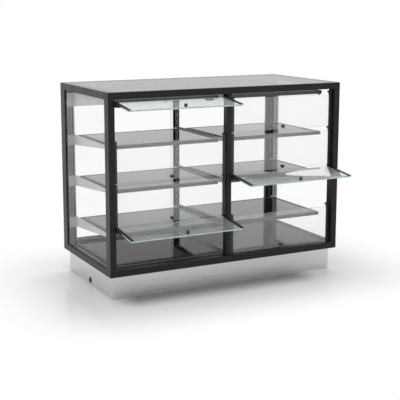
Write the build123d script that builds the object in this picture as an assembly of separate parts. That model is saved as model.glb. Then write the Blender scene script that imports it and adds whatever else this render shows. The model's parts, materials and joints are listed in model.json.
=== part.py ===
"""Heated drop-in display case: black framed glass cabinet with eight front flaps,
three heated shelves, a heated deck, a heating canopy, rear sliding doors and a
stainless base that drops into a counter.

Millimetres. +X is to the customer's right, +Y to the rear, +Z up.
The origin is the centre of the base underside.
"""
from build123d import *
import os

# Overall sizes
case_width = 1200.0
case_depth = 600.0
frame_height = 815.0
base_height = 112.0

# Frame sections
front_post_width = 30.0
front_post_depth = 46.0
rear_post_width = 44.0
rear_post_depth = 54.0
rail_height = 30.0
top_side_rail_width = 44.0
bottom_side_rail_width = 36.0
header_height = 77.0
mullion_width = 25.0
mullion_depth = 33.0
mullion_setback = 13.0
rear_mullion_width = 33.0
rear_mullion_depth = 6.0
rear_mullion_setback = 9.0
tube_wall = 2.0
counter_lip_depth = 1.0
counter_lip_gap = 0.5

# Glazing
glass_thickness = 6.0
glazing_bite = 8.0
gasket_thickness = 1.5
gasket_end_gap = 1.0
side_glass_inset = 3.5
top_lip_width = 8.0
top_glass_drop = 0.5
top_glass_gap = 0.5

# Base box
base_side_inset = 22.0
base_front_inset = 34.0
base_rear_inset = 22.0
sheet_thickness = 1.5
base_flange_reach = 45.0
floor_upturn = 8.0
screw_head_radius = 5.0
screw_head_height = 3.0
screw_neck = 5.0
screw_tip = 1.0
screw_sides = 8
screw_from_side = 150.0
screw_from_front = 7.0
screw_from_rear = 17.0
neck_play = 0.4
cable_hole_radius = 11.0
cable_hole_height = 22.0
cable_hole_from_front = 305.0
cable_bore_radius = 7.0
bush_flange_radius = 13.5
bush_flange_thickness = 2.0
bush_sleeve_reach = 6.0
terminal_box_length = 110.0
terminal_box_width = 80.0
terminal_box_height = 45.0
terminal_box_from_side = 40.0

# Shelves, deck and canopies
shelf_side_gap = 50.0
shelf_centre_gap = 40.0
shelf_front_gap = 78.0
shelf_rear_gap = 104.0
shelf_thickness = 15.0
shelf_rim = 20.0
shelf_corner_radius = 6.0
plate_thickness = 5.0
plate_gap = 0.3
pan_floor = 1.5
cavity_ledge = 8.0
heater_thickness = 2.0
element_width = 30.0
lower_shelf_top = 170.0
middle_shelf_top = 374.0
upper_shelf_top = 572.0
canopy_below_top = 42.0
canopy_thickness = 17.0
canopy_rim = 12.0
clip_radius = 5.0
clip_height = 6.0
clip_sides = 8
clip_inset = 10.0
cable_cover_length = 47.0
cable_cover_width = 26.0
cable_cover_depth = 12.0
cable_cover_bevel = 3.0
deck_side_gap = 45.0
deck_front_gap = 39.0
deck_end_gap = 1.0
deck_proud = 3.0
deck_rim = 12.0
deck_middle_bar = 34.0
mullion_gap = 0.5

# Slotted uprights and brackets
upright_width = 24.0
upright_depth = 12.0
upright_from_side = 11.0
upright_wall = 1.5
slot_height = 20.0
slot_width = 6.0
slot_pitch = 35.0
first_slot_height = 60.0
slot_end_gap = 4.0
bracket_thickness = 3.0
bracket_rear_height = 50.0
canopy_bracket_height = 65.0
bracket_ledge_width = 15.0
bracket_ledge_thickness = 2.0
bracket_front_gap = 20.0
header_gap = 1.0
hook_width = 4.0
hook_height = 12.0
hook_drop = 5.0
hook_tip = 4.0
hook_play = 0.3
hook_seat_play = 0.02
centre_strip_width = 15.0
centre_strip_depth = 6.0

# Front flaps
flap_rows = ["top", "upper", "lower", "bottom"]
top_pivot_below_top = 47.0
bottom_flap_pivot = 215.0
top_row_shorter = 18.5
flap_row_gap = 8.5
flap_bottom_gap = 2.0
flap_glass_recess = 24.0
flap_open_angle = 83.0
open_flaps = ["top_left", "lower_right", "bottom_left"]
strip_width = 14.0
strip_thickness = 3.5
web_thickness = 1.5
web_reach = 20.0
web_length = 85.0
glass_end_play = 0.1
glass_below_pivot = 9.0
pivot_radius = 3.0
pivot_clearance = 0.05
hinge_plate_thickness = 1.0
hinge_plate_width = 30.0
hinge_plate_above = 14.0
hinge_plate_below = 30.0
hinge_play = 0.3
lever_thickness = 1.5
lever_length = 30.0
lever_height = 9.0
stop_size = 5.0
stop_clearance = 0.3
closed_stop_reach = 15.0
open_stop_reach = 22.0
knob_foot_radius = 6.5
knob_sides = 16
knob_taper = 6.6
knob_depth = 13.0
knob_above_edge = 14.0

# Rear sliding doors
door_glass_thickness = 5.0
door_side_gap = 2.0
door_overlap = 20.0
inner_door_from_rear = 25.5
door_plane_pitch = 11.0
track_wall = 2.0
track_floor = 2.0
track_rib_height = 8.0
top_track_height = 14.0
door_top_gap = 7.0
shoe_wall = 1.0
shoe_height = 17.0
shoe_ground_gap = 1.5
shoe_slot_depth = 9.0
glide_length = 24.0
glide_width = 4.0
glide_height = 6.0
glide_inset = 60.0
glide_play = 0.2
running_gap = 0.3
grip_width = 12.0
grip_wall = 1.5
grip_lip = 2.5
grip_top_gap = 2.0

# Controls on the rear header
knob_x = 430.0
switch_x = 340.0
dial_radius = 19.0
dial_depth = 15.0
dial_gap = 0.5
pointer_width = 2.0
pointer_rise = 1.5
pointer_inset = 3.0
shaft_radius = 3.0
shaft_play = 0.05
shaft_hole = 8.0
shaft_reach = 8.0
thermostat_size = 44.0
thermostat_depth = 26.0
bezel_width = 30.0
bezel_height = 24.0
bezel_thickness = 2.0
bezel_lap = 2.0
housing_depth = 26.0
rocker_radius = 11.0
rocker_width = 20.0
rocker_height = 15.0
rocker_proud = 3.5
rocker_tilt = 8.0
rocker_tail = 4.0
rocker_trim = 0.3
rocker_dish = 1.0
rocker_side_play = 0.4
rocker_end_play = 1.2
rocker_back_room = 2.0

# Places that follow from the sizes above
left_x = -case_width / 2
right_x = case_width / 2
front_y = -case_depth / 2
rear_y = case_depth / 2
frame_bottom = base_height
frame_top = base_height + frame_height
post_bottom = frame_bottom + rail_height
post_top = frame_top - rail_height
header_bottom = frame_top - header_height
front_post_rear_y = front_y + front_post_depth
rear_post_front_y = rear_y - rear_post_depth
rebate_z = frame_top - top_glass_drop - glass_thickness - top_glass_gap
between_front_posts = (left_x + front_post_width, right_x - front_post_width)
between_rear_posts = (left_x + rear_post_width, right_x - rear_post_width)


def block(x, y, z):
    """Solid box between two X, two Y and two Z places."""
    centre = ((x[0] + x[1]) / 2, (y[0] + y[1]) / 2, (z[0] + z[1]) / 2)
    return Pos(*centre) * Box(abs(x[1] - x[0]), abs(y[1] - y[0]), abs(z[1] - z[0]))


def span(centre, size):
    return (centre - size / 2, centre + size / 2)


def shrink(pair, amount):
    return (pair[0] + amount, pair[1] - amount)


def rod(start, direction, radius, length):
    """Round bar from a point along a direction."""
    plane = Plane(origin=start, z_dir=direction)
    return extrude(plane * Circle(radius), length)


def mirrored(shape):
    return mirror(shape, about=Plane.YZ)


def both_sides(shape):
    return [shape, mirrored(shape)]


def in_both_bays(shapes):
    return [copy for shape in shapes for copy in both_sides(shape)]


def write_node(name, solids):
    """Write one node as a group of separate solids."""
    shapes = solids if isinstance(solids, list) else [solids]
    group = Compound(children=[solid for shape in shapes for solid in shape.solids()])
    group.label = name
    export_step(group, f"parts/{name}.step")


# Glazing pockets
side_glass_x = (left_x + side_glass_inset, left_x + side_glass_inset + glass_thickness)
pocket_bite = glazing_bite + gasket_end_gap
side_pocket = block(
    shrink(side_glass_x, -gasket_thickness),
    (front_post_rear_y - pocket_bite, rear_post_front_y + pocket_bite),
    (post_bottom - pocket_bite, post_top + pocket_bite),
)
side_pockets = side_pocket + mirrored(side_pocket)
top_pocket = block(
    (left_x + top_lip_width, right_x - top_lip_width),
    (front_y + top_lip_width, rear_y - top_lip_width),
    (rebate_z, frame_top),
)


def front_post():
    """Hollow front corner post with a groove for the side glass in its rear face."""
    x = (left_x, left_x + front_post_width)
    z = (post_bottom, post_top)
    chamber_end = front_post_rear_y - pocket_bite - tube_wall
    body = block(x, (front_y, front_post_rear_y), z)
    body -= block((x[0] + tube_wall, x[1] - tube_wall), (front_y + tube_wall, chamber_end), z)
    return body - side_pockets


def rear_post():
    """Hollow rear corner post with a groove for the side glass in its front face."""
    x = (left_x, left_x + rear_post_width)
    z = (post_bottom, header_bottom)
    chamber_start = rear_post_front_y + pocket_bite + tube_wall
    body = block(x, (rear_post_front_y, rear_y), z)
    body -= block((x[0] + tube_wall, x[1] - tube_wall), (chamber_start, rear_y - tube_wall), z)
    return body - side_pockets


def front_mullion():
    """Hollow centre post between the two bays, set back from the front face."""
    half = mullion_width / 2
    y0 = front_y + mullion_setback
    z = (post_bottom, post_top)
    body = block((-half, half), (y0, y0 + mullion_depth), z)
    inside = (-half + tube_wall, half - tube_wall)
    return body - block(inside, (y0 + tube_wall, y0 + mullion_depth - tube_wall), z)


def top_front_rail():
    """Full-width top rail whose rear edge is rebated for the top glass."""
    y = (front_y, front_post_rear_y)
    body = block((left_x, right_x), y, (post_top, frame_top))
    body -= block(between_front_posts, shrink(y, tube_wall), shrink((post_top, rebate_z), tube_wall))
    return body - top_pocket - side_pockets


def counter_lip(x, y):
    """Lip under a bottom rail, outside the base box, that rests on the counter."""
    z = (frame_bottom - counter_lip_depth, frame_bottom)
    return block(x, y, z) - block(shrink(base_x, -counter_lip_gap), shrink(base_y, -counter_lip_gap), z)


def bottom_front_rail():
    """Full-width bottom rail, its underside resting on the counter."""
    y = (front_y, front_post_rear_y)
    z = (frame_bottom, post_bottom)
    body = block((left_x, right_x), y, z)
    body -= block(between_front_posts, shrink(y, tube_wall), shrink(z, tube_wall))
    body += counter_lip((left_x, right_x), y)
    return body - side_pockets - casing_screw_holes()


def top_side_rail():
    """Left top rail: rebated above for the top glass and grooved below for the side glass."""
    x = (left_x, left_x + top_side_rail_width)
    y = (front_post_rear_y, rear_post_front_y)
    body = block(x, y, (post_top, frame_top))
    body -= block(shrink(x, tube_wall), y, shrink((post_top + pocket_bite, rebate_z), tube_wall))
    return body - top_pocket - side_pockets


def bottom_side_rail():
    """Left bottom rail, grooved above for the side glass."""
    x = (left_x, left_x + bottom_side_rail_width)
    y = (front_post_rear_y, rear_post_front_y)
    body = block(x, y, (frame_bottom, post_bottom))
    body -= block(shrink(x, tube_wall), y, shrink((frame_bottom, post_bottom - pocket_bite), tube_wall))
    return body + counter_lip(x, y) - side_pockets


def rear_header():
    """Deep rear top rail that also houses the controls."""
    y = (rear_post_front_y, rear_y)
    rear_wall = (rear_y - tube_wall, rear_y)
    body = block((left_x, right_x), y, (header_bottom, frame_top))
    body -= block(between_rear_posts, shrink(y, tube_wall), shrink((header_bottom, rebate_z), tube_wall))
    body -= top_pocket + side_pockets
    body -= block(span(knob_x, shaft_hole), rear_wall, span(control_z(), shaft_hole))
    return body - block(housing_x(), rear_wall, housing_z())


def rear_sill():
    """Full-width rear bottom rail under the sliding doors."""
    y = (rear_post_front_y, rear_y)
    z = (frame_bottom, post_bottom)
    body = block((left_x, right_x), y, z)
    body -= block(between_rear_posts, shrink(y, tube_wall), shrink(z, tube_wall))
    body += counter_lip((left_x, right_x), y)
    return body - side_pockets - casing_screw_holes()


def control_z():
    return (header_bottom + rebate_z) / 2


# Glass and its gaskets
def side_glass():
    y = (front_post_rear_y - glazing_bite, rear_post_front_y + glazing_bite)
    z = (post_bottom - glazing_bite, post_top + glazing_bite)
    return block(side_glass_x, y, z)


def side_gasket():
    """Ring of rubber that fills the groove round the side glass."""
    daylight = block(
        (left_x, left_x + front_post_width),
        (front_post_rear_y, rear_post_front_y),
        (post_bottom, post_top),
    )
    return side_pocket - daylight - side_glass()


def top_glass():
    gap = top_glass_gap
    return block(
        (left_x + top_lip_width + gap, right_x - top_lip_width - gap),
        (front_y + top_lip_width + gap, rear_y - top_lip_width - gap),
        (rebate_z + gap, rebate_z + gap + glass_thickness),
    )


def top_gasket():
    """Flat tape between the rebate and the top glass."""
    outer = block(
        (left_x + top_lip_width, right_x - top_lip_width),
        (front_y + top_lip_width, rear_y - top_lip_width),
        (rebate_z, rebate_z + top_glass_gap),
    )
    daylight = block(
        (left_x + top_side_rail_width, right_x - top_side_rail_width),
        (front_post_rear_y, rear_post_front_y),
        (rebate_z, frame_top),
    )
    return outer - daylight


# Slotted uprights and the brackets that hook into them
def slot_heights():
    """Centre heights of the slots, from the deck to the header."""
    lowest = post_bottom + first_slot_height
    highest = header_bottom - slot_height / 2 - slot_end_gap
    count = int((highest - lowest) // slot_pitch) + 1
    return [lowest + i * slot_pitch for i in range(count)]


def slots(x_centre, front):
    """Column of slots through a front wall."""
    wall = (front, front + upright_wall)
    return [block(span(x_centre, slot_width), wall, span(height, slot_height)) for height in slot_heights()]


def side_upright_x():
    return left_x + upright_from_side + upright_width / 2


def side_upright():
    """Box tube with a column of slots in its front wall."""
    front = rear_post_front_y - upright_depth
    z = (post_bottom, header_bottom)
    body = block(span(side_upright_x(), upright_width), (front, front + upright_depth), z)
    inside_x = span(side_upright_x(), upright_width - 2 * upright_wall)
    body -= block(inside_x, (front + upright_wall, front + upright_depth - upright_wall), z)
    return body - slots(side_upright_x(), front)


def centre_strip_front():
    return rear_post_front_y + rear_mullion_setback


def rear_mullion():
    """Flat centre bar at the rear, behind the slotted strip."""
    start = centre_strip_front() + centre_strip_depth
    y = (start, start + rear_mullion_depth)
    return block(span(0, rear_mullion_width), y, (post_bottom, header_bottom))


def centre_strip():
    """Slotted channel on the front of the rear centre bar."""
    front = centre_strip_front()
    z = (post_bottom, header_bottom)
    body = block(span(0, centre_strip_width), (front, front + centre_strip_depth), z)
    inside_x = span(0, centre_strip_width - 2 * upright_wall)
    body -= block(inside_x, (front + upright_wall, front + centre_strip_depth), z)
    return body - slots(0, front)


def hooks(x_centre, upright_front, low, high):
    """Hooks that pass through the slots between two heights and rest on their lower ends."""
    found = []
    x = span(x_centre, hook_width)
    behind = upright_front + upright_wall + hook_play
    end = behind + hook_tip
    for height in slot_heights():
        seat = height - slot_height / 2 + hook_seat_play
        if seat > low and seat + hook_height < high:
            shank = block(x, (upright_front, end), (seat, seat + hook_height))
            tip = block(x, (behind, end), (seat - hook_drop, seat))
            found += [shank, tip]
    return found


def bracket_web(start_x, lug_front, tray_top, tray_thickness, rear_height):
    """Upright web along a tray's end, deep at the rear and tapering to the front."""
    tip_y = shelf_y[0] + bracket_front_gap
    top = tray_top - bracket_thickness
    front_low = tray_top - tray_thickness - bracket_ledge_thickness
    outline = Polyline(
        (lug_front, top),
        (tip_y, top),
        (tip_y, front_low),
        (lug_front, top - rear_height),
        close=True,
    )
    face = Plane(origin=(start_x, 0, 0), x_dir=(0, 1, 0), z_dir=(1, 0, 0))
    return extrude(face * make_face(outline), bracket_thickness)


def bracket_ledge(x, tray_bottom):
    """Strip folded inwards under the tray."""
    y = (shelf_y[0] + bracket_front_gap, shelf_y[1])
    return block(x, y, (tray_bottom - bracket_ledge_thickness, tray_bottom))


def side_bracket(tray_top, tray_thickness, rear_height):
    """Left cantilever bracket: tapered web, ledge under the tray and a hooked rear lug."""
    web_x = (shelf_x[0] - bracket_thickness, shelf_x[0])
    upright_front = rear_post_front_y - upright_depth
    lug_front = upright_front - bracket_thickness
    web = bracket_web(web_x[0], lug_front, tray_top, tray_thickness, rear_height)
    ledge = bracket_ledge((web_x[0], web_x[1] + bracket_ledge_width), tray_top - tray_thickness)
    top = tray_top - bracket_thickness
    low = top - rear_height
    lug = block((left_x + upright_from_side, web_x[1]), (lug_front, upright_front), (low, top))
    return web + ledge + lug + hooks(side_upright_x(), upright_front, low, top)


def centre_bracket(tray_top, tray_thickness, rear_height):
    """Folded channel between two trays: a web and a ledge for each tray and a hooked rear lug."""
    upright_front = centre_strip_front()
    lug_front = upright_front - bracket_thickness
    web_start = -shelf_centre_gap / 2
    web = bracket_web(web_start, lug_front, tray_top, tray_thickness, rear_height)
    ledge_x = (web_start - bracket_ledge_width, web_start + bracket_thickness)
    ledge = bracket_ledge(ledge_x, tray_top - tray_thickness)
    top = tray_top - bracket_thickness
    low = top - rear_height
    lug = block((web_start, -web_start), (lug_front, upright_front), (low, top))
    bracket = web + ledge + mirrored(web + ledge) + lug + hooks(0, upright_front, low, top)
    header_room = block(
        span(0, shelf_centre_gap),
        (rear_post_front_y - header_gap, rear_y),
        (header_bottom - header_gap, frame_top),
    )
    return bracket - header_room


def brackets():
    found = []
    trays = [(height, shelf_thickness, bracket_rear_height) for height in shelf_tops()]
    trays.append((canopy_z[1], canopy_thickness, canopy_bracket_height))
    for tray in trays:
        found += both_sides(side_bracket(*tray))
        found.append(centre_bracket(*tray))
    return found


# Heated trays: shelves, canopies and deck
def shelf_tops():
    return [frame_bottom + top for top in (lower_shelf_top, middle_shelf_top, upper_shelf_top)]


def pan(x, y, z, windows, corner):
    """Metal pan with recesses for glass plates, each with a hollow for a heater inside a ledge."""
    body = block(x, y, z)
    if corner > 0:
        front_corners = body.edges().filter_by(Axis.Z).sort_by(Axis.Y)[:2]
        body = fillet(front_corners, corner)
    seat = z[1] - plate_thickness - plate_gap
    for window_x, window_y in windows:
        body -= block(window_x, window_y, (seat, z[1]))
        hollow_x = shrink(window_x, cavity_ledge)
        hollow_y = shrink(window_y, cavity_ledge)
        body -= block(hollow_x, hollow_y, (z[0] + pan_floor, seat))
    return body


def plate(window, low):
    """Glass plate that lies in a pan's recess."""
    window_x, window_y = window
    return block(shrink(window_x, plate_gap), shrink(window_y, plate_gap), (low, low + plate_thickness))


def pad(window, top):
    """Flat heating pad bonded to the underside of a glass plate."""
    inset = cavity_ledge + plate_gap
    window_x, window_y = window
    return block(shrink(window_x, inset), shrink(window_y, inset), (top - heater_thickness, top))


shelf_x = (left_x + shelf_side_gap, -shelf_centre_gap / 2)
shelf_y = (front_y + shelf_front_gap, rear_y - shelf_rear_gap)
shelf_window = (shrink(shelf_x, shelf_rim), shrink(shelf_y, shelf_rim))
canopy_window = (shrink(shelf_x, canopy_rim), shrink(shelf_y, canopy_rim))
canopy_z = (frame_top - canopy_below_top - canopy_thickness, frame_top - canopy_below_top)
deck_x = (left_x + deck_side_gap, right_x - deck_side_gap)
deck_y = (front_post_rear_y + deck_end_gap, rear_post_front_y - deck_end_gap)
deck_top = post_bottom + deck_proud
deck_window = ((deck_x[0] + deck_rim, -deck_middle_bar / 2), shrink(deck_y, deck_rim))


def shelf_tray(top):
    return pan(shelf_x, shelf_y, (top - shelf_thickness, top), [shelf_window], shelf_corner_radius)


def shelf_plates():
    return [plate(shelf_window, top - plate_thickness - plate_gap) for top in shelf_tops()]


def shelf_pads():
    return [pad(shelf_window, top - plate_thickness - plate_gap) for top in shelf_tops()]


def canopy():
    """Shelf pan turned upside down."""
    upright = pan(shelf_x, shelf_y, canopy_z, [canopy_window], 0)
    return mirror(upright, about=Plane(origin=(0, 0, sum(canopy_z) / 2), z_dir=(0, 0, 1)))


def canopy_elements():
    """Flat strip heaters that lie on the canopy's glass."""
    window_x, window_y = canopy_window
    x = shrink(window_x, 2 * cavity_ledge)
    z = (canopy_z[0] + plate_thickness, canopy_z[0] + plate_thickness + heater_thickness)
    middles = [window_y[0] + part * (window_y[1] - window_y[0]) for part in (0.25, 0.5, 0.75)]
    return [block(x, span(middle, element_width), z) for middle in middles]


def canopy_clips():
    """Pegs whose heads hold the canopy glass along its front and rear edges."""
    found = []
    rear_clip_inset = bracket_ledge_width + 2 * clip_radius
    rows = [(shelf_y[0] + clip_inset, clip_inset), (shelf_y[1] - clip_inset, rear_clip_inset)]
    for y, end_inset in rows:
        for x in (shelf_x[0] + end_inset, sum(shelf_x) / 2, shelf_x[1] - end_inset):
            face = Plane(origin=(x, y, canopy_z[0]), z_dir=(0, 0, -1))
            found.append(extrude(face * RegularPolygon(clip_radius, clip_sides), clip_height))
    return found


def canopy_cable_cover():
    """Bevelled cover over the lead that runs from the left canopy to the centre post."""
    y0 = shelf_y[0] + 2 * clip_inset
    x = (shelf_x[1] - cable_cover_length, shelf_x[1] - bracket_ledge_width)
    body = block(x, (y0, y0 + cable_cover_width), (canopy_z[0] - cable_cover_depth, canopy_z[0]))
    return chamfer(body.faces().sort_by(Axis.Z)[0].edges(), cable_cover_bevel)


def deck_tray():
    """Deck pan between the bottom rails, with a front lip that laps over the front rail."""
    left_window = deck_window
    right_window = (tuple(-x for x in reversed(deck_window[0])), deck_window[1])
    body = pan(deck_x, deck_y, (frame_bottom, deck_top), [left_window, right_window], 0)
    body += block(deck_x, (front_y + deck_front_gap, deck_y[0]), (post_bottom, deck_top))
    around_mullion = span(0, mullion_width + 2 * mullion_gap)
    return body - block(around_mullion, (front_y, front_post_rear_y + mullion_gap), (post_bottom, deck_top))


# Base box
base_x = (left_x + base_side_inset, right_x - base_side_inset)
base_y = (front_y + base_front_inset, rear_y - base_rear_inset)


def casing_screw_places():
    """Screw places along the base's top flange, under the frame rails."""
    xs = shrink(base_x, screw_from_side)
    ys = (base_y[0] + screw_from_front, base_y[1] - screw_from_rear)
    return [(x, y) for x in xs for y in ys]


def casing_screw_holes():
    """Punched square holes through the flange and the rail above it."""
    z = (frame_bottom - sheet_thickness, frame_bottom + tube_wall)
    hole = screw_neck + neck_play
    return [block(span(x, hole), span(y, hole), z) for x, y in casing_screw_places()]


def casing_screws():
    """Square-necked coach screws up through the base flange into the bottom rails."""
    found = []
    seat = frame_bottom - sheet_thickness
    for x, y in casing_screw_places():
        face = Plane(origin=(x, y, seat), z_dir=(0, 0, -1))
        head = extrude(face * RegularPolygon(screw_head_radius, screw_sides), screw_head_height)
        neck_z = (seat, frame_bottom + tube_wall + screw_tip)
        neck = block(span(x, screw_neck), span(y, screw_neck), neck_z)
        found.append(head + neck)
    return found


def base_casing():
    """Folded sheet box, open below, with an inward flange at the top that carries the frame and deck."""
    wall = sheet_thickness
    body = block(base_x, base_y, (0, base_height))
    body -= block(shrink(base_x, wall), shrink(base_y, wall), (0, base_height - wall))
    flange_x = shrink(base_x, base_flange_reach)
    flange_y = shrink(base_y, base_flange_reach)
    body -= block(flange_x, flange_y, (base_height - wall, base_height))
    body -= rod(cable_hole_start(), (1, 0, 0), cable_hole_radius, wall)
    return body - casing_screw_holes()


def base_floor():
    """Bottom plate with upturned edges inside the casing."""
    wall = sheet_thickness
    x = shrink(base_x, wall)
    y = shrink(base_y, wall)
    body = block(x, y, (0, floor_upturn))
    return body - block(shrink(x, wall), shrink(y, wall), (wall, floor_upturn))


def cable_hole_start():
    return (base_x[0], front_y + cable_hole_from_front, cable_hole_height)


def cable_bush():
    """Bush that lines the supply hole, with a flange outside and a sleeve inside."""
    front = -bush_flange_thickness
    end = sheet_thickness + bush_sleeve_reach
    profile = Polyline(
        (cable_bore_radius, front),
        (bush_flange_radius, front),
        (bush_flange_radius, 0),
        (cable_hole_radius, 0),
        (cable_hole_radius, end),
        (cable_bore_radius, end),
        close=True,
    )
    ring = revolve(Plane.XZ * make_face(profile), Axis.Z)
    return Pos(*cable_hole_start()) * Rot(0, 90, 0) * ring


def terminal_box():
    """Closed junction box on the base floor, behind the supply hole."""
    start = base_x[0] + terminal_box_from_side
    x = (start, start + terminal_box_length)
    y = span(front_y + cable_hole_from_front, terminal_box_width)
    return block(x, y, (sheet_thickness, sheet_thickness + terminal_box_height))


# Front flaps
flap_pivot_y = front_y + flap_glass_recess + glass_thickness / 2
bay_x = (left_x + front_post_width, -mullion_width / 2)
pivot_range = frame_height - top_pivot_below_top - bottom_flap_pivot
flap_pivot_pitch = (pivot_range + top_row_shorter) / (len(flap_rows) - 1)


def pivot_height(row):
    """Pivot height of a row of flaps, counted from the top."""
    if row == 0:
        return frame_top - top_pivot_below_top
    return frame_bottom + bottom_flap_pivot + (len(flap_rows) - 1 - row) * flap_pivot_pitch


def flap_bottom(row):
    if row == len(flap_rows) - 1:
        return post_bottom + flap_bottom_gap
    return pivot_height(row + 1) + flap_row_gap


def lever_x():
    """Where a flap's left lever lies, just clear of its hinge plate."""
    start = bay_x[0] + hinge_plate_thickness + hinge_play
    return (start, start + lever_thickness)


def strip_x():
    return (lever_x()[1], lever_x()[1] + strip_width)


def flap_arm(row):
    """Left arm: strip on the front of the glass, tapered web at its end and a stop lever to the rear."""
    z_pivot = pivot_height(row)
    low = flap_bottom(row)
    half = lever_height / 2
    half_glass = glass_thickness / 2
    front = -half_glass - strip_thickness
    strip = block(strip_x(), (flap_pivot_y + front, flap_pivot_y - half_glass), (low, z_pivot + half))
    side = Plane(origin=(strip_x()[0], flap_pivot_y, z_pivot), x_dir=(0, 1, 0), z_dir=(1, 0, 0))
    outline = Polyline(
        (front, half),
        (web_reach, half),
        (web_reach, -half),
        (half_glass, -web_length),
        (front, -web_length),
        close=True,
    )
    web = extrude(side * make_face(outline), web_thickness)
    lever_y = (flap_pivot_y + front, flap_pivot_y + lever_length)
    lever = block(lever_x(), lever_y, span(z_pivot, lever_height))
    through = strip_x()[0] + web_thickness - lever_x()[0]
    bore = rod((lever_x()[0], flap_pivot_y, z_pivot), (1, 0, 0), pivot_radius + pivot_clearance, through)
    return strip + web + lever - bore


def knob_place(row):
    return (sum(bay_x) / 2, flap_pivot_y, flap_bottom(row) + knob_above_edge)


def flap_knob(row):
    """Many-sided knob bonded to the front of the glass, wider at its head."""
    x, y, z = knob_place(row)
    foot = Plane(origin=(x, y - glass_thickness / 2, z), z_dir=(0, -1, 0))
    return extrude(foot * RegularPolygon(knob_foot_radius, knob_sides), knob_depth, taper=-knob_taper)


def flap_glass(row):
    end = strip_x()[0] + web_thickness + glass_end_play - bay_x[0]
    half = glass_thickness / 2
    y = (flap_pivot_y - half, flap_pivot_y + half)
    return block(shrink(bay_x, end), y, (flap_bottom(row), pivot_height(row) - glass_below_pivot))


def across_bay(shape):
    """Copy a left-hand flap piece to the right-hand end of the same bay."""
    return mirror(shape, about=Plane(origin=(sum(bay_x) / 2, 0, 0), z_dir=(1, 0, 0)))


def flap_fittings(row):
    arm = flap_arm(row)
    return [arm, across_bay(arm), flap_knob(row)]


def swung_open(shape, row):
    axis = Axis((0, flap_pivot_y, pivot_height(row)), (1, 0, 0))
    return shape.rotate(axis, -flap_open_angle)


def write_flaps():
    """Eight flaps, the ones named as open turned to their open stop."""
    for row, row_name in enumerate(flap_rows):
        for side in ("left", "right"):
            glass = [flap_glass(row)]
            fittings = flap_fittings(row)
            if side == "right":
                glass = [mirrored(shape) for shape in glass]
                fittings = [mirrored(shape) for shape in fittings]
            name = f"{row_name}_{side}"
            if name in open_flaps:
                glass = [swung_open(shape, row) for shape in glass]
                fittings = [swung_open(shape, row) for shape in fittings]
            write_node(f"{name}_flap_glass", glass)
            write_node(f"{name}_flap_fittings", fittings)


def hinge_plate(row):
    """Plate on the post with a pivot pin and two stops for the flap's lever."""
    z_pivot = pivot_height(row)
    face = bay_x[0] + hinge_plate_thickness
    z = (z_pivot - hinge_plate_below, z_pivot + hinge_plate_above)
    body = block((bay_x[0], face), (front_post_rear_y - hinge_plate_width, front_post_rear_y), z)
    pin_length = strip_x()[0] + web_thickness - bay_x[0]
    body += rod((bay_x[0], flap_pivot_y, z_pivot), (1, 0, 0), pivot_radius, pin_length)
    stop_x = (face, lever_x()[1] - hinge_play)
    near = lever_height / 2 + stop_clearance
    closed_y = span(flap_pivot_y + closed_stop_reach, stop_size)
    open_y = span(flap_pivot_y + open_stop_reach, stop_size)
    body += block(stop_x, closed_y, (z_pivot + near, z_pivot + near + stop_size))
    return body + swung_open(block(stop_x, open_y, (z_pivot - near - stop_size, z_pivot - near)), row)


def hinge_plates():
    found = []
    for row in range(len(flap_rows)):
        plate = hinge_plate(row)
        for shape in (plate, across_bay(plate)):
            found += both_sides(shape)
    return found


# Rear sliding doors
door_left_x = left_x + rear_post_width + door_side_gap + grip_wall
inner_door_y = rear_y - inner_door_from_rear
outer_door_y = inner_door_y + door_plane_pitch
door_x = (door_left_x, door_overlap)
track_y = span((inner_door_y + outer_door_y) / 2, 2 * door_plane_pitch + track_wall)
door_floor = post_bottom + track_floor
shoe_bottom = door_floor + shoe_ground_gap


def track_channels(low, high):
    """The two running channels of a track, one for each door plane."""
    width = door_plane_pitch - track_wall
    return [block(between_rear_posts, span(y, width), (low, high)) for y in (inner_door_y, outer_door_y)]


def door_tracks():
    rib_top = door_floor + track_rib_height
    bottom = block(between_rear_posts, track_y, (post_bottom, rib_top))
    bottom -= track_channels(door_floor, rib_top)
    low = header_bottom - top_track_height
    top = block(between_rear_posts, track_y, (low, header_bottom))
    top -= track_channels(low, header_bottom - track_wall)
    return [bottom, top]


def door_glass(y_middle):
    low = shoe_bottom + shoe_height - shoe_slot_depth
    return block(door_x, span(y_middle, door_glass_thickness), (low, header_bottom - door_top_gap))


def glides(y_middle, play):
    """Two nylon glides in the underside of a shoe, or their pockets when given some play."""
    x_middles = (door_x[0] + glide_inset, door_x[1] - glide_inset)
    low = door_floor + running_gap
    z = (low, low + glide_height + play)
    y = span(y_middle, glide_width + 2 * play)
    return [block(span(x, glide_length + 2 * play), y, z) for x in x_middles]


def door_shoe(y_middle):
    """Channel under the glass with two pockets for the glides."""
    width = door_glass_thickness + 2 * shoe_wall
    body = block(door_x, span(y_middle, width), (shoe_bottom, shoe_bottom + shoe_height))
    slot_low = shoe_bottom + shoe_height - shoe_slot_depth
    body -= block(door_x, span(y_middle, door_glass_thickness), (slot_low, shoe_bottom + shoe_height))
    return body - glides(y_middle, glide_play)


def door_grip(y_middle):
    """Edge channel over the glass above the shoe, with a finger lip on the server's side."""
    z = (shoe_bottom + shoe_height, header_bottom - top_track_height - grip_top_gap)
    half = door_glass_thickness / 2
    outer = (y_middle - half - grip_wall, y_middle + half + grip_wall)
    body = block((door_x[0] - grip_wall, door_x[0] + grip_width), outer, z)
    body += block((door_x[0] - grip_wall, door_x[0] + grip_wall), (outer[1], outer[1] + grip_lip), z)
    return body - block((door_x[0], door_x[0] + grip_width), (y_middle - half, y_middle + half), z)


def door_fittings(y_middle):
    return [door_shoe(y_middle), door_grip(y_middle)] + glides(y_middle, 0)


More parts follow.
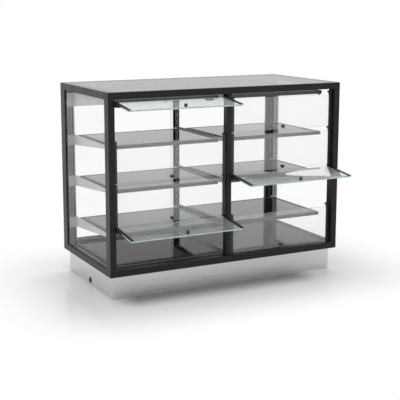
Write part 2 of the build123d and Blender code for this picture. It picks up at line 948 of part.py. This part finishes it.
# Controls
def thermostat_body():
    """Thermostat behind the header wall, with a bearing for the dial's shaft."""
    inside = rear_y - tube_wall
    body = block(
        span(knob_x, thermostat_size),
        (inside - thermostat_depth, inside),
        span(control_z(), thermostat_size),
    )
    bearing_start = (knob_x, inside - shaft_reach - shaft_play, control_z())
    return body - rod(bearing_start, (0, 1, 0), shaft_radius + shaft_play, shaft_reach + shaft_play)


def thermostat_knob():
    """Round dial with a raised pointer, fixed on the shaft that turns in the thermostat."""
    start = rear_y + dial_gap
    end = start + dial_depth
    dial = rod((knob_x, start, control_z()), (0, 1, 0), dial_radius, dial_depth)
    pointer_z = shrink((control_z(), control_z() + dial_radius), pointer_inset)
    dial += block(span(knob_x, pointer_width), (end, end + pointer_rise), pointer_z)
    shaft_start = rear_y - tube_wall - shaft_reach
    return dial + rod((knob_x, shaft_start, control_z()), (0, 1, 0), shaft_radius, start - shaft_start)


def housing_x():
    return shrink(span(switch_x, bezel_width), bezel_lap)


def housing_z():
    return shrink(span(control_z(), bezel_height), bezel_lap)


def power_switch_body():
    """Switch frame: bezel on the header's face and a housing behind it, open for the rocker."""
    bezel_y = (rear_y, rear_y + bezel_thickness)
    bezel = block(span(switch_x, bezel_width), bezel_y, span(control_z(), bezel_height))
    housing = block(housing_x(), (rear_y - housing_depth, rear_y), housing_z())
    opening = block(
        shrink(span(switch_x, rocker_width), -rocker_side_play),
        (rear_y - rocker_radius - rocker_back_room, rear_y + bezel_thickness),
        shrink(span(control_z(), rocker_height), -rocker_end_play),
    )
    return bezel + housing - opening


def rocker_pivot_y():
    return rear_y + bezel_thickness + rocker_proud - rocker_radius


def power_switch_rocker():
    """Rocker button, a round-backed bar with a dished outer face, tilted to its off position."""
    start = (switch_x - rocker_width / 2, rocker_pivot_y(), control_z())
    side = Plane(origin=start, x_dir=(0, 1, 0), z_dir=(1, 0, 0))
    trim = Rectangle(rocker_radius + rocker_tail, rocker_height - 2 * rocker_trim)
    outline = Circle(rocker_radius) & (Pos((rocker_radius - rocker_tail) / 2, 0) * trim)
    dish_radius = 1.5 * rocker_height + rocker_dish
    dished = outline - Pos(rocker_radius + dish_radius - rocker_dish, 0) * Circle(dish_radius)
    rocker = extrude(side * dished, rocker_width)
    return rocker.rotate(Axis((0, rocker_pivot_y(), control_z()), (1, 0, 0)), -rocker_tilt)


def write_all():
    os.makedirs("parts", exist_ok=True)
    write_node("left_front_post", front_post())
    write_node("right_front_post", mirrored(front_post()))
    write_node("front_mullion", front_mullion())
    write_node("left_rear_post", rear_post())
    write_node("right_rear_post", mirrored(rear_post()))
    write_node("rear_mullion", rear_mullion())
    write_node("top_front_rail", top_front_rail())
    write_node("bottom_front_rail", bottom_front_rail())
    write_node("top_side_rails", both_sides(top_side_rail()))
    write_node("bottom_side_rails", both_sides(bottom_side_rail()))
    write_node("rear_header", rear_header())
    write_node("rear_sill", rear_sill())
    write_node("top_glass", top_glass())
    write_node("side_glasses", both_sides(side_glass()))
    write_node("glass_gaskets", both_sides(side_gasket()) + [top_gasket()])
    write_node("slotted_uprights", both_sides(side_upright()) + [centre_strip()])
    write_node("shelf_brackets", brackets())
    for name, top in zip(("lower", "middle", "upper"), shelf_tops()):
        write_node(f"{name}_shelf_trays", both_sides(shelf_tray(top)))
    write_node("shelf_glass_plates", in_both_bays(shelf_plates()))
    write_node("heating_canopies", both_sides(canopy()))
    write_node("canopy_glasses", both_sides(plate(canopy_window, canopy_z[0])))
    write_node("canopy_elements", in_both_bays(canopy_elements()))
    write_node("canopy_clips", in_both_bays(canopy_clips()))
    write_node("canopy_cable_cover", canopy_cable_cover())
    write_node("deck_tray", deck_tray())
    deck_plate_top = deck_top - plate_gap
    write_node("deck_glass_plates", both_sides(plate(deck_window, deck_plate_top - plate_thickness)))
    pads = shelf_pads() + [pad(deck_window, deck_plate_top - plate_thickness)]
    write_node("heating_pads", in_both_bays(pads))
    write_node("base_casing", base_casing())
    write_node("base_floor", base_floor())
    write_node("casing_screws", casing_screws())
    write_node("cable_bush", cable_bush())
    write_node("terminal_box", terminal_box())
    write_flaps()
    write_node("flap_hinge_plates", hinge_plates())
    write_node("left_rear_door", door_glass(inner_door_y))
    write_node("left_door_fittings", door_fittings(inner_door_y))
    write_node("right_rear_door", mirrored(door_glass(outer_door_y)))
    write_node("right_door_fittings", [mirrored(shape) for shape in door_fittings(outer_door_y)])
    write_node("door_tracks", door_tracks())
    write_node("thermostat_body", thermostat_body())
    write_node("thermostat_knob", thermostat_knob())
    write_node("power_switch_body", power_switch_body())
    write_node("power_switch_rocker", power_switch_rocker())


write_all()
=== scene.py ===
import json
import math

import bmesh
import bpy
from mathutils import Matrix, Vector


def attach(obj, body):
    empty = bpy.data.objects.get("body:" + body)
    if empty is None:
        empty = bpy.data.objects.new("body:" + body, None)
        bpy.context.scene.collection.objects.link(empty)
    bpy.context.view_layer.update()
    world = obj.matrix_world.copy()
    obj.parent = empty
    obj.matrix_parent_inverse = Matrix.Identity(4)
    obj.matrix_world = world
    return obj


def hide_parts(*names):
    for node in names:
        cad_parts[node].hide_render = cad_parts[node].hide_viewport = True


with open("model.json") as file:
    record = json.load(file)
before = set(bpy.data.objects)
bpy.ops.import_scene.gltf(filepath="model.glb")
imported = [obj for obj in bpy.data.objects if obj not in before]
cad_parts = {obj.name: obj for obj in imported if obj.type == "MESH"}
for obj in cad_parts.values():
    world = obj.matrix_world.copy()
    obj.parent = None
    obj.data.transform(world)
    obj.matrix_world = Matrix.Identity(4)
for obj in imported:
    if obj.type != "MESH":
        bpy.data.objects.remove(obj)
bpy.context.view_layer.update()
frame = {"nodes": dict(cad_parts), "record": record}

MM = 0.001

# Photograph's view: metres, degrees and millimetres
CAMERA_PLACE = (-2.1326, -4.0682, 1.3041)
CAMERA_TURN = 27.046
CAMERA_DIP = 10.222
LENS_MM = 86.11
SENSOR_MM = 36
SHIFT_X = 0.025
SHIFT_Y = -0.0625

# Floor: half the base's plan, and the distances from it over which the floor fades to white
FLOOR_RADIUS = 12
BASE_CENTRE = (0, 0, 0)
BASE_HALF = (0.6, 0.3, 0)
FLOOR_FADE = (0.0, 0.55)

# Painted shadow: the floor's colour is darker where the base stands, a little to the left as in the
# photograph
PAINTED_SHADOW_CENTRE = (-0.06, 0, 0)
PAINTED_SHADOW_HALF = (0.4, 0.3, 0)
PAINTED_SHADOW_RANGE = (-0.01, 0.16)
PAINTED_SHADOW_GREY = 0.2
FLOOR_GREY = 0.88

# Light from the world on surfaces, where it isn't seen itself
WORLD_LIGHT = 0.75

# Copies of CAD meshes: metres and degrees
MERGE_DISTANCE = 1e-6
FLAT_ANGLE = 0.5
SHARP_ANGLE = 35

# A face is a pane's broad one where its normal has at least this share of the pane's own
BROAD_SHARE = 0.9

# Rounding of edges in millimetres, for the nodes that show most
PANE_ROUNDING = 0.6
ROUNDING = {
    "left_front_post": 1.0, "right_front_post": 1.0, "front_mullion": 1.0, "left_rear_post": 1.0,
    "right_rear_post": 1.0, "top_front_rail": 1.0, "bottom_front_rail": 1.0, "top_side_rails": 0.8,
    "bottom_side_rails": 0.8, "rear_header": 1.0, "rear_sill": 1.0, "base_casing": 0.7,
    "lower_shelf_trays": 1.0, "middle_shelf_trays": 1.0, "upper_shelf_trays": 1.0,
    "heating_canopies": 1.0, "deck_tray": 0.8, "shelf_glass_plates": 0.8, "deck_glass_plates": 0.8,
}

# Outputs of shader nodes, by their place
OBJECT_PLACE = 3
FACING = 1
SHADOW_RAY = 1
WAVE_HEIGHT = 1
VECTOR_LENGTH = 1
MIXED_COLOUR = 2

BODY_OF = {}
SLOT_OF = {}
for body_name, group in frame["record"]["behaviour"]["bodies"].items():
    for member in group:
        BODY_OF[member] = body_name
for entry in frame["record"]["subparts"]:
    SLOT_OF[entry["node"]] = entry["material_slot"]


class Value:
    """A number socket whose operators add Math nodes."""

    def __init__(self, finish, socket):
        self.finish = finish
        self.socket = socket

    def maths(self, operation, first, second):
        return self.finish.node("ShaderNodeMath", {"operation": operation}, {0: first, 1: second})

    def __add__(self, other):
        return self.maths("ADD", self, other)

    def __radd__(self, other):
        return self.maths("ADD", other, self)

    def __mul__(self, other):
        return self.maths("MULTIPLY", self, other)

    def __rmul__(self, other):
        return self.maths("MULTIPLY", other, self)


class Finish:
    """A material, built node by node around one Principled shader."""

    def __init__(self, name):
        self.material = bpy.data.materials.new(name)
        self.material.use_nodes = True
        self.tree = self.material.node_tree
        self.tree.nodes.clear()
        self.output = self.tree.nodes.new("ShaderNodeOutputMaterial")
        self.shader = self.tree.nodes.new("ShaderNodeBsdfPrincipled")
        self.surface(self.shader.outputs[0])

    def node(self, kind, settings=None, inputs=None, output=0):
        """Add a node, set its settings, then set or link its inputs."""
        made = self.tree.nodes.new(kind)
        for key, value in (settings or {}).items():
            setattr(made, key, value)
        for key, value in (inputs or {}).items():
            self.feed(made.inputs[key], value)
        return Value(self, made.outputs[output])

    def feed(self, socket, value):
        if isinstance(value, Value):
            self.tree.links.new(value.socket, socket)
        elif isinstance(value, bpy.types.NodeSocket):
            self.tree.links.new(value, socket)
        else:
            socket.default_value = value

    def set(self, **inputs):
        """Set or link the Principled shader's inputs, underscores standing for spaces."""
        for key, value in inputs.items():
            self.feed(self.shader.inputs[key.replace("_", " ")], value)

    def surface(self, socket):
        self.feed(self.output.inputs["Surface"], socket)

    def place(self, scale=(1, 1, 1)):
        """Object coordinates, stretched by a scale."""
        here = self.node("ShaderNodeTexCoord", output=OBJECT_PLACE)
        return self.node("ShaderNodeMapping", {}, {"Vector": here, "Scale": scale})

    def noise(self, place, scale, detail):
        inputs = {"Vector": place, "Scale": scale, "Detail": detail}
        return self.node("ShaderNodeTexNoise", {"noise_dimensions": "3D"}, inputs)

    def band(self, value, low, high, to_low=0.0, to_high=1.0):
        """Map a range of values smoothly on to another range."""
        inputs = {0: value, 1: low, 2: high, 3: to_low, 4: to_high}
        return self.node("ShaderNodeMapRange", {"interpolation_type": "SMOOTHSTEP"}, inputs)

    def blend(self, factor, first, second):
        """Mix two colours. The node takes them at its inputs 6 and 7."""
        inputs = {0: factor, 6: first, 7: second}
        return self.node("ShaderNodeMix", {"data_type": "RGBA"}, inputs, MIXED_COLOUR)

    def bump(self, height, strength, distance):
        inputs = {"Strength": strength, "Distance": distance, "Height": height}
        self.set(Normal=self.node("ShaderNodeBump", {}, inputs))


def colour(grey, tint=(1.0, 1.0, 1.0)):
    return (grey * tint[0], grey * tint[1], grey * tint[2], 1.0)


# Finishes
def frame_black():
    """Satin black powder coat with fine orange peel and slight changes of tone."""
    f = Finish("frame_black")
    here = f.place()
    cloud = f.noise(here, scale=6.0, detail=4.0)
    peel = f.noise(here, scale=900.0, detail=2.0)
    f.set(Base_Color=f.blend(f.band(cloud, 0.35, 0.7), colour(0.008), colour(0.012, (1.0, 1.0, 1.04))))
    f.set(Roughness=f.band(cloud, 0.3, 0.7, 0.3, 0.4), IOR=1.3)
    f.bump(peel, strength=0.05, distance=0.0002)
    return f.material


def satin_grey():
    """Anodised aluminium pans with a faint drawn grain along their length."""
    f = Finish("satin_grey")
    grain = f.noise(f.place((3, 900, 900)), scale=1.0, detail=3.0)
    cloud = f.noise(f.place(), scale=5.0, detail=3.0)
    f.set(Base_Color=f.blend(f.band(grain, 0.3, 0.7), colour(0.065), colour(0.095, (1.0, 1.0, 1.02))))
    f.set(Metallic=0.3, Roughness=f.band(cloud, 0.3, 0.7, 0.36, 0.46))
    f.bump(grain, strength=0.03, distance=0.0001)
    return f.material


def bracket_light():
    """Light grey stoved enamel."""
    f = Finish("bracket_light")
    here = f.place()
    cloud = f.noise(here, scale=12.0, detail=3.0)
    peel = f.noise(here, scale=700.0, detail=2.0)
    f.set(Base_Color=f.blend(f.band(cloud, 0.3, 0.7), colour(0.5), colour(0.58, (1.0, 1.0, 1.01))))
    f.set(Roughness=f.band(cloud, 0.3, 0.7, 0.34, 0.44))
    f.bump(peel, strength=0.08, distance=0.0002)
    return f.material


def upright_metal():
    """Satin anodised uprights with a vertical grain."""
    f = Finish("upright_metal")
    grain = f.noise(f.place((800, 800, 4)), scale=1.0, detail=3.0)
    f.set(Base_Color=f.blend(f.band(grain, 0.3, 0.7), colour(0.24), colour(0.32, (1.0, 1.0, 1.02))))
    f.set(Metallic=0.8, Roughness=f.band(grain, 0.3, 0.7, 0.32, 0.44))
    f.bump(grain, strength=0.1, distance=0.0001)
    return f.material


def stainless():
    """Stainless sheet brushed along its length, with soft stains and a few longer scratches."""
    f = Finish("stainless")
    brush = f.noise(f.place((4, 4, 2200)), scale=1.0, detail=4.0)
    long_brush = f.noise(f.place((0.8, 0.8, 500)), scale=1.0, detail=2.0)
    cloud = f.noise(f.place(), scale=4.0, detail=3.0)
    tone = brush * 0.6 + long_brush * 0.4
    f.set(Base_Color=f.blend(f.band(tone, 0.35, 0.65), colour(0.58), colour(0.66, (1.0, 1.0, 0.99))))
    f.set(Metallic=0.85, Roughness=f.band(cloud * 0.4 + brush * 0.6, 0.3, 0.7, 0.24, 0.36))
    f.bump(brush, strength=0.12, distance=0.0001)
    return f.material


def through_shadow(f, shader, veil, film_and_reflection, film_and_reflection_grey):
    """Let lamps through a glass, and add a lit haze that shows more along the glass than across it:
    partly a thin film on the glass, partly a painted reflection.
    """
    clear = f.node("ShaderNodeBsdfTransparent", {}, {"Color": colour(0.96, (0.98, 1.0, 0.99))})
    seen = shader
    if film_and_reflection > 0:
        # The haze is partly a thin film and partly a painted reflection: a lit layer that grows towards
        # glancing views like a reflection
        haze_and_reflection = f.node("ShaderNodeBsdfDiffuse", {}, {"Color": colour(film_and_reflection_grey, (0.98, 1.0, 1.0))})
        along = f.node("ShaderNodeLayerWeight", {}, {"Blend": 0.5}, output=FACING)
        share = along * along * film_and_reflection + veil
        seen = f.node("ShaderNodeMixShader", {}, {0: share, 1: shader, 2: haze_and_reflection})
    shadow = f.node("ShaderNodeLightPath", output=SHADOW_RAY)
    f.surface(f.node("ShaderNodeMixShader", {}, {0: shadow, 1: seen, 2: clear}))


def clear_glass(name="clear_glass", clarity=0.98, bend=1.1, veil=0.0, film_and_reflection=0.0, film_and_reflection_grey=0.8):
    """Float glass with a trace of green and faint wiping marks, and where a film is given, a haze that
    is partly a painted reflection.
    """
    f = Finish(name)
    smear = f.noise(f.place((1, 1, 3)), scale=7.0, detail=4.0)
    clean = colour(clarity, (0.99, 1.0, 0.995))
    f.set(Base_Color=f.blend(f.band(smear, 0.4, 0.75), clean, colour(clarity - 0.02)))
    f.set(Roughness=f.band(smear, 0.45, 0.8, 0.0, 0.02), IOR=bend, Transmission_Weight=1.0)
    through_shadow(f, f.shader.outputs[0], veil, film_and_reflection, film_and_reflection_grey)
    return f.material


def glass_edge():
    """Polished pane edge, where the glass shows its own pale green."""
    f = Finish("glass_edge")
    along = f.noise(f.place((2, 2, 2)), scale=20.0, detail=3.0)
    pale = colour(0.62, (0.78, 1.0, 0.92))
    deep = colour(0.5, (0.7, 1.0, 0.88))
    f.set(Base_Color=f.blend(f.band(along, 0.3, 0.7), pale, deep))
    f.set(Roughness=f.band(along, 0.3, 0.7, 0.08, 0.16), IOR=1.46)
    return f.material


def plate_glass(name="plate_glass", bend=1.58):
    """Dark ceramic glass of the heated plates, glossy with fine flecks and faint wiping marks."""
    f = Finish(name)
    smear = f.noise(f.place((1, 4, 1)), scale=9.0, detail=4.0)
    fleck = f.noise(f.place(), scale=1500.0, detail=1.0)
    f.set(Base_Color=f.blend(f.band(fleck, 0.62, 0.7), colour(0.018), colour(0.05)))
    f.set(Roughness=f.band(smear, 0.4, 0.8, 0.05, 0.13), IOR=bend)
    return f.material


def gasket_rubber():
    """Matt black glazing rubber."""
    f = Finish("gasket_rubber")
    grain = f.noise(f.place(), scale=600.0, detail=2.0)
    f.set(Base_Color=f.blend(grain, colour(0.012), colour(0.022)))
    f.set(Roughness=f.band(grain, 0.3, 0.7, 0.6, 0.75))
    f.bump(grain, strength=0.15, distance=0.0002)
    return f.material


def heater():
    """Red-brown silicone heating mat with a woven face."""
    f = Finish("heater")
    inputs = {"Vector": f.place(), "Scale": 250.0}
    weft = f.node("ShaderNodeTexWave", {"bands_direction": "X"}, inputs, WAVE_HEIGHT)
    warp = f.node("ShaderNodeTexWave", {"bands_direction": "Y"}, inputs, WAVE_HEIGHT)
    weave = weft * warp
    f.set(Base_Color=f.blend(weave, colour(0.2, (1.0, 0.35, 0.16)), colour(0.3, (1.0, 0.4, 0.2))))
    f.set(Roughness=0.6)
    f.bump(weave, strength=0.2, distance=0.0002)
    return f.material


def element_steel():
    """Dull heated steel, straw-coloured in patches."""
    f = Finish("element_steel")
    patch = f.noise(f.place(), scale=30.0, detail=3.0)
    f.set(Base_Color=f.blend(patch, colour(0.3), colour(0.4, (1.0, 0.9, 0.72))), Metallic=0.9)
    f.set(Roughness=f.band(patch, 0.3, 0.7, 0.4, 0.55))
    return f.material


def black_plastic():
    """Fine-grained black moulding."""
    f = Finish("black_plastic")
    here = f.place()
    grain = f.noise(here, scale=1200.0, detail=2.0)
    cloud = f.noise(here, scale=30.0, detail=2.0)
    f.set(Base_Color=f.blend(cloud, colour(0.012), colour(0.02)))
    f.set(Roughness=f.band(cloud, 0.3, 0.7, 0.34, 0.46))
    f.bump(grain, strength=0.15, distance=0.0002)
    return f.material


def gloss_black():
    """Polished black moulding."""
    f = Finish("gloss_black")
    cloud = f.noise(f.place(), scale=60.0, detail=2.0)
    f.set(Base_Color=f.blend(cloud, colour(0.012), colour(0.018)))
    f.set(Roughness=f.band(cloud, 0.3, 0.7, 0.12, 0.2))
    return f.material


def zinc_steel():
    """Bright zinc plate with a mottled tone."""
    f = Finish("zinc_steel")
    mottle = f.noise(f.place(), scale=150.0, detail=3.0)
    f.set(Base_Color=f.blend(mottle, colour(0.45), colour(0.6, (1.0, 1.0, 1.03))), Metallic=1.0)
    f.set(Roughness=f.band(mottle, 0.3, 0.7, 0.25, 0.4))
    return f.material


def door_metal():
    """Satin anodised door profiles with a grain along the case."""
    f = Finish("door_metal")
    grain = f.noise(f.place((4, 900, 900)), scale=1.0, detail=3.0)
    f.set(Base_Color=f.blend(f.band(grain, 0.3, 0.7), colour(0.48), colour(0.58)), Metallic=0.9)
    f.set(Roughness=f.band(grain, 0.3, 0.7, 0.3, 0.42))
    f.bump(grain, strength=0.08, distance=0.0001)
    return f.material


FINISHES = {
    "frame_black": frame_black(),
    "satin_grey": satin_grey(),
    "bracket_light": bracket_light(),
    "upright_metal": upright_metal(),
    "stainless": stainless(),
    "clear_glass": clear_glass(),
    "plate_glass": plate_glass(),
    "gasket_rubber": gasket_rubber(),
    "heater": heater(),
    "element_steel": element_steel(),
    "black_plastic": black_plastic(),
    "gloss_black": gloss_black(),
    "zinc_steel": zinc_steel(),
    "door_metal": door_metal(),
}
# Their film is partly a painted reflection: a lit haze, whitish on the flaps and grey on the top pane,
# stronger at glancing views
FLAP_GLASS = clear_glass("flap_glass", bend=1.12, veil=0.1, film_and_reflection=0.15, film_and_reflection_grey=0.88)
TOP_GLASS = clear_glass("top_pane", clarity=0.95, bend=1.25, veil=0.02, film_and_reflection=0.55, film_and_reflection_grey=0.3)
DECK_PLATE = plate_glass("deck_plate", bend=1.16)
EDGE = glass_edge()


# Pieces
def new_piece(name, shape, node, materials):
    """Make an object from a bmesh, in place of a CAD node and on its body."""
    mesh = bpy.data.meshes.new(name)
    shape.to_mesh(mesh)
    shape.free()
    piece = bpy.data.objects.new(name, mesh)
    bpy.context.collection.objects.link(piece)
    for material in materials:
        mesh.materials.append(material)
    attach(piece, BODY_OF[node])
    return piece


def merged_copy(node):
    """A CAD node's mesh as a clean bmesh, with flat faces joined."""
    shape = bmesh.new()
    shape.from_mesh(frame["nodes"][node].data)
    bmesh.ops.remove_doubles(shape, verts=shape.verts, dist=MERGE_DISTANCE)
    flat = math.radians(FLAT_ANGLE)
    bmesh.ops.dissolve_limit(shape, angle_limit=flat, verts=shape.verts, edges=shape.edges)
    for face in shape.faces:
        face.material_index = 0
    return shape


def soften(shape, width):
    """Round every sharp edge by a width in metres."""
    limit = math.radians(SHARP_ANGLE)
    inner = [edge for edge in shape.edges if len(edge.link_faces) == 2]
    sharp = [edge for edge in inner if edge.calc_face_angle(0) > limit]
    bmesh.ops.bevel(
        shape, geom=sharp, offset=width, offset_type="OFFSET", segments=2, profile=0.5,
        affect="EDGES", material=-1, clamp_overlap=True,
    )


def softened(node, width, material=None):
    """Put a copy with rounded edges in the place of a CAD node."""
    shape = merged_copy(node)
    soften(shape, width)
    piece = new_piece(node + "_soft", shape, node, [material or FINISHES[SLOT_OF[node]]])
    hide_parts(node)


def pane(node, face_material):
    """Put a pane with ground corners and the edge finish on its narrow faces in a node's place."""
    shape = merged_copy(node)
    soften(shape, PANE_ROUNDING * MM)
    broad = max(shape.faces, key=lambda face: face.calc_area()).normal.copy()
    for face in shape.faces:
        face.material_index = 0 if abs(face.normal.dot(broad)) > BROAD_SHARE else 1
    piece = new_piece(node + "_pane", shape, node, [face_material, EDGE])
    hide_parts(node)


def dress_nodes():
    """Give every CAD node its finish, and soften or replace the ones that show most."""
    for node, item in frame["nodes"].items():
        item.data.materials.clear()
        item.data.materials.append(FINISHES[SLOT_OF[node]])
        if node.endswith("_flap_glass"):
            pane(node, FLAP_GLASS)
        elif node == "top_glass":
            pane(node, TOP_GLASS)
        elif node in ("side_glasses", "left_rear_door", "right_rear_door"):
            pane(node, FINISHES["clear_glass"])
        elif node == "deck_glass_plates":
            softened(node, ROUNDING[node] * MM, DECK_PLATE)
        elif node in ROUNDING:
            softened(node, ROUNDING[node] * MM)


# Surroundings
def reach_from(f, centre, half):
    """Distance on the floor from a rectangle."""
    here = f.node("ShaderNodeTexCoord", output=OBJECT_PLACE)
    moved = f.node("ShaderNodeVectorMath", {"operation": "SUBTRACT"}, {0: here, 1: centre})
    across = f.node("ShaderNodeVectorMath", {"operation": "ABSOLUTE"}, {0: moved})
    beyond = f.node("ShaderNodeVectorMath", {"operation": "SUBTRACT"}, {0: across, 1: half})
    outside = f.node("ShaderNodeVectorMath", {"operation": "MAXIMUM"}, {0: beyond, 1: (0, 0, 0)})
    return f.node("ShaderNodeVectorMath", {"operation": "LENGTH"}, {0: outside}, VECTOR_LENGTH)


def floor_finish():
    """Pale floor with a painted shadow round the base, which fades to plain white away from the base
    and mirrors it faintly.
    """
    f = Finish("pale_floor")
    f.set(Roughness=0.17, IOR=1.22)
    # Painted shadow: the floor's colour darkens close to the base
    painted_shadow = f.band(reach_from(f, PAINTED_SHADOW_CENTRE, PAINTED_SHADOW_HALF), *PAINTED_SHADOW_RANGE)
    f.set(Base_Color=f.blend(painted_shadow, colour(PAINTED_SHADOW_GREY), colour(FLOOR_GREY)))
    white = f.node("ShaderNodeEmission", {}, {"Color": (1, 1, 1, 1), "Strength": 1.0})
    away = f.band(reach_from(f, BASE_CENTRE, BASE_HALF), *FLOOR_FADE)
    f.surface(f.node("ShaderNodeMixShader", {}, {0: away, 1: f.shader.outputs[0], 2: white}))
    return f.material


def make_floor():
    """A round floor, which is part of the stage and not of the object."""
    shape = bmesh.new()
    bmesh.ops.create_circle(shape, cap_ends=True, segments=64, radius=FLOOR_RADIUS)
    mesh = bpy.data.meshes.new("floor")
    shape.to_mesh(mesh)
    shape.free()
    floor = bpy.data.objects.new("floor", mesh)
    bpy.context.collection.objects.link(floor)
    mesh.materials.append(floor_finish())


def make_world():
    """White where it is seen, mirrored or seen through glass, and dimmer as a light."""
    world = bpy.data.worlds.new("studio")
    bpy.context.scene.world = world
    world.use_nodes = True
    tree = world.node_tree
    tree.nodes.clear()
    path = tree.nodes.new("ShaderNodeLightPath")
    seen = tree.nodes.new("ShaderNodeMath")
    seen.operation = "MAXIMUM"
    tree.links.new(path.outputs["Is Camera Ray"], seen.inputs[0])
    tree.links.new(path.outputs["Is Glossy Ray"], seen.inputs[1])
    also = tree.nodes.new("ShaderNodeMath")
    also.operation = "MAXIMUM"
    tree.links.new(seen.outputs[0], also.inputs[0])
    tree.links.new(path.outputs["Is Transmission Ray"], also.inputs[1])
    strength = tree.nodes.new("ShaderNodeMapRange")
    strength.inputs["To Min"].default_value = WORLD_LIGHT
    tree.links.new(also.outputs[0], strength.inputs["Value"])
    background = tree.nodes.new("ShaderNodeBackground")
    background.inputs["Color"].default_value = (1, 1, 1, 1)
    tree.links.new(strength.outputs[0], background.inputs["Strength"])
    output = tree.nodes.new("ShaderNodeOutputWorld")
    tree.links.new(background.outputs[0], output.inputs["Surface"])


def area_lamp(name, place, target, size, watts):
    """A soft lamp that lights surfaces without being mirrored in them or seen through glass."""
    data = bpy.data.lights.new(name, "AREA")
    data.shape = "RECTANGLE"
    data.size, data.size_y = size
    data.energy = watts
    lamp = bpy.data.objects.new(name, data)
    bpy.context.collection.objects.link(lamp)
    lamp.visible_glossy = False
    lamp.visible_transmission = False
    lamp.location = place
    lamp.rotation_euler = (Vector(target) - Vector(place)).to_track_quat("-Z", "Y").to_euler()


def make_lamps():
    """One lamp above the rear and a weaker one at the left."""
    middle = (0, 0, 0.45)
    area_lamp("overhead", place=(0.6, 1.4, 3.4), target=middle, size=(3.0, 2.0), watts=40)
    area_lamp("left_fill", place=(-3.5, -0.5, 1.8), target=middle, size=(2.0, 2.0), watts=15)


def make_camera():
    """The photograph's view."""
    data = bpy.data.cameras.new("camera")
    data.lens = LENS_MM
    data.sensor_width = SENSOR_MM
    data.shift_x = SHIFT_X
    data.shift_y = SHIFT_Y
    camera = bpy.data.objects.new("camera", data)
    bpy.context.collection.objects.link(camera)
    camera.location = CAMERA_PLACE
    camera.rotation_euler = (math.radians(90 - CAMERA_DIP), 0, math.radians(-CAMERA_TURN))
    bpy.context.scene.camera = camera


dress_nodes()
make_floor()
make_world()
make_lamps()
make_camera()
bpy.context.scene.view_settings.view_transform = "Standard"
